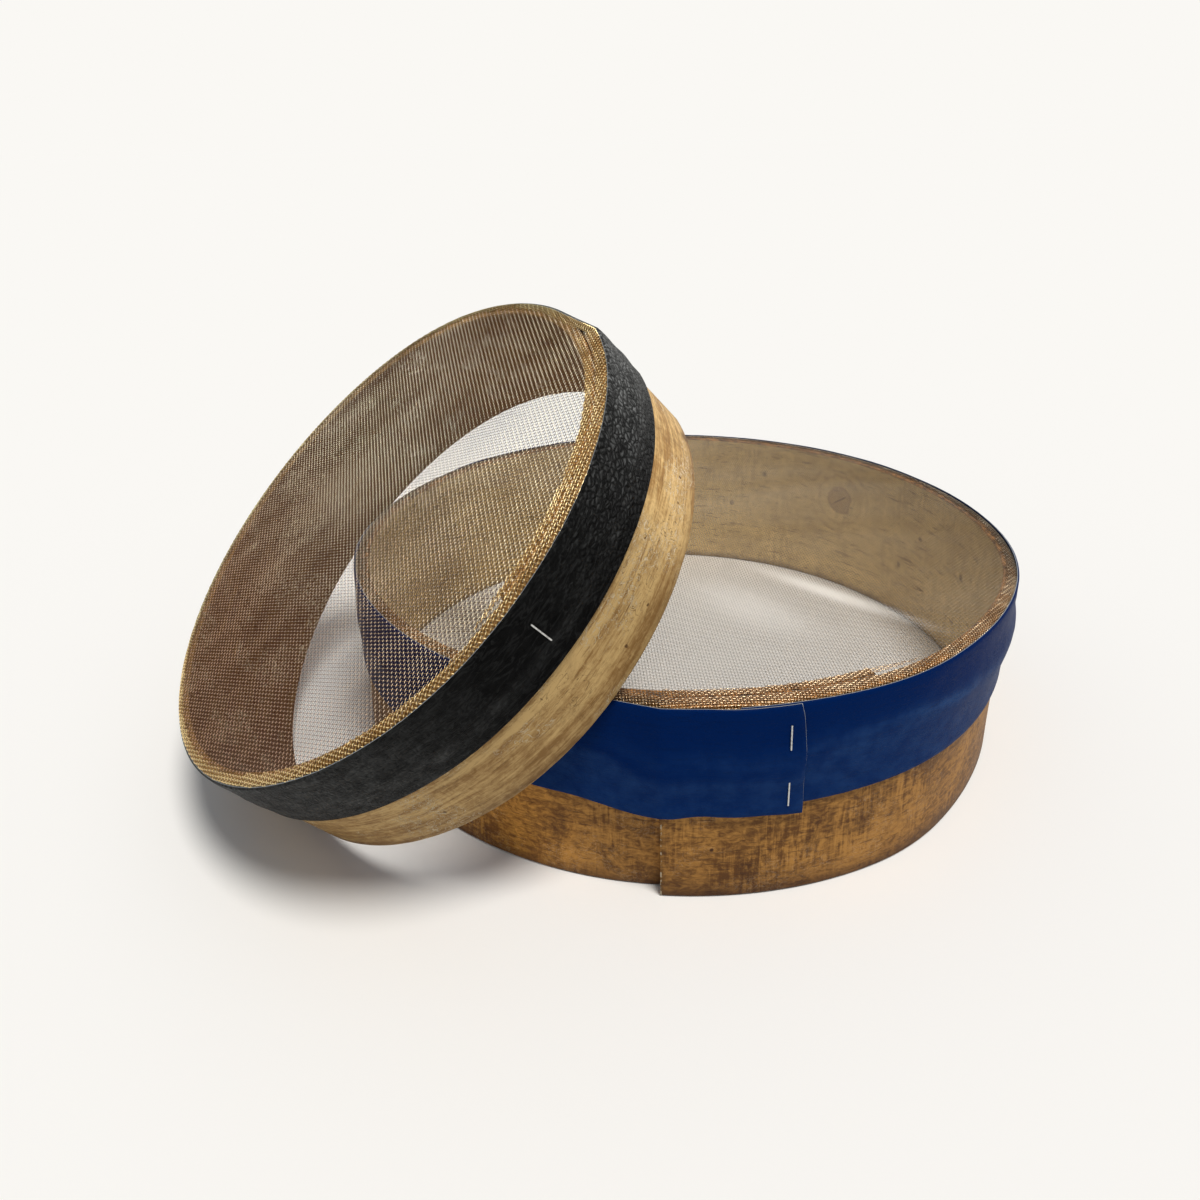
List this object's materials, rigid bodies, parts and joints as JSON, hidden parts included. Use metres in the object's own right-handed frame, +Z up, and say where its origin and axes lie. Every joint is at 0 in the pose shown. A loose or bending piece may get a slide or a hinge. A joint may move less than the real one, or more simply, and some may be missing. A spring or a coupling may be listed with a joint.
{
  "type": "tamis drum sieve",
  "caption": "Pair of round wooden drum sieves with fine woven metal cloth and leathercloth bands, one lying flat and one leaning on its rim.",
  "frame": {"origin": "centre of the pair's bounding box, on the plane of the standing sieve's foot", "axes": "+X to the right in the picture, away from the leaning sieve; +Y away from the camera; +Z up along the standing sieve's axis"},
  "size_m": [0.3828, 0.342, 0.204],
  "materials": {
    "dark_wood": "satin, worn and stained",
    "pale_wood": "satin, scratched",
    "brass_cloth": "fine plain weave, aged",
    "navy_leathercloth": "smooth, half gloss",
    "black_leathercloth": "pebble grained, half gloss",
    "staple_steel": "dull",
    "nail_iron": "dark, dull"
  },
  "bodies": {
    "standing_sieve": {"standing_hoop": "dark_wood", "standing_wire_cloth": "brass_cloth", "standing_cloth_margin": "brass_cloth", "standing_band": "navy_leathercloth", "standing_band_staples": "staple_steel", "standing_cloth_staples": "staple_steel", "standing_lap_nails": "nail_iron"},
    "leaning_sieve": {"leaning_hoop": "pale_wood", "leaning_wire_cloth": "brass_cloth", "leaning_cloth_margin": "brass_cloth", "leaning_band": "black_leathercloth", "leaning_band_staple": "staple_steel", "leaning_cloth_staples": "staple_steel", "leaning_lap_nails": "nail_iron"}
  },
  "joints": [
    {"name": "lift", "type": "slide", "parent": "standing_sieve", "child": "leaning_sieve", "axis": [0, 0, 1], "range_m": [0, 0.12]}
  ]
}
